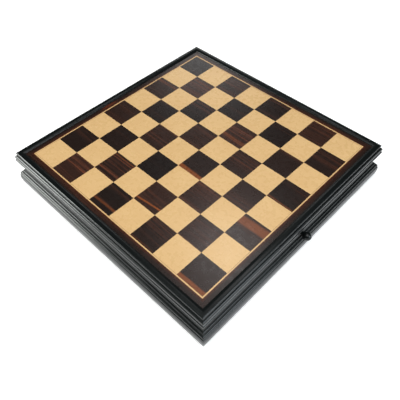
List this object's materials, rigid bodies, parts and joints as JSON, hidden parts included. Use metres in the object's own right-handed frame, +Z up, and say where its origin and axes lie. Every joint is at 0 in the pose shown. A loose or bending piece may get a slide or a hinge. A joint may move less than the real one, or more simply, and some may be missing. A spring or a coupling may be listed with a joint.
{
  "type": "chess set with storage board",
  "caption": "Inlaid chess board on a moulded black case, with a sliding drawer that holds the turned chessmen in felt-lined pockets.",
  "frame": {"origin": "on the plane the case stands on, straight below the centre of the playing field", "axes": "+X along the drawer front to the right, +Y from the drawer front towards the back, +Z up"},
  "size_m": [0.469, 0.4805, 0.0771],
  "materials": {
    "macassar": "satin lacquered striped ebony veneer",
    "maple": "satin lacquered pale veneer",
    "plain_veneer": "raw sanded veneer",
    "ply": "raw sanded ply",
    "black_lacquer": "gloss black lacquer",
    "beech": "waxed",
    "green_felt": "felt",
    "zinc_steel": "zinc plated",
    "maple_men": "polished turned maple",
    "ebony_men": "polished turned ebony"
  },
  "bodies": {
    "case": {"board_core": "ply", "backing_veneer": "plain_veneer", "dark_squares": "macassar", "light_squares": "maple", "stringing_line": "maple", "border_veneer": "macassar", "bottom_panel": "ply", "bottom_baize": "green_felt", "bottom_screws": "zinc_steel", "glue_blocks": "beech", "drawer_guide_left": "beech", "drawer_guide_right": "beech", "rear_stop_blocks": "beech", "stop_batten": "beech", "front_return_left": "black_lacquer", "front_return_right": "black_lacquer", "frame_front": "black_lacquer", "frame_right": "black_lacquer", "wall_right": "black_lacquer", "frame_back": "black_lacquer", "wall_back": "black_lacquer", "frame_left": "black_lacquer", "wall_left": "black_lacquer"},
    "drawer": {"drawer_front": "black_lacquer", "drawer_side_left": "beech", "drawer_side_right": "beech", "drawer_back": "beech", "drawer_bottom": "ply", "stop_cleat": "beech", "tray_felt": "green_felt", "long_dividers": "beech", "cross_dividers": "beech", "drawer_knob": "black_lacquer", "knob_screw": "zinc_steel", "ebony_bishops": "ebony_men", "ebony_king": "ebony_men", "ebony_knight_feet": "ebony_men", "ebony_knight_heads": "ebony_men", "ebony_pawns": "ebony_men", "ebony_queen": "ebony_men", "ebony_rooks": "ebony_men", "maple_bishops": "maple_men", "maple_king": "maple_men", "maple_knight_feet": "maple_men", "maple_knight_heads": "maple_men", "maple_pawns": "maple_men", "maple_queen": "maple_men", "maple_rooks": "maple_men"}
  },
  "joints": [
    {"name": "drawer_slide", "type": "slide", "parent": "case", "child": "drawer", "axis": [0, -1, 0], "range_m": [0, 0.32]}
  ]
}
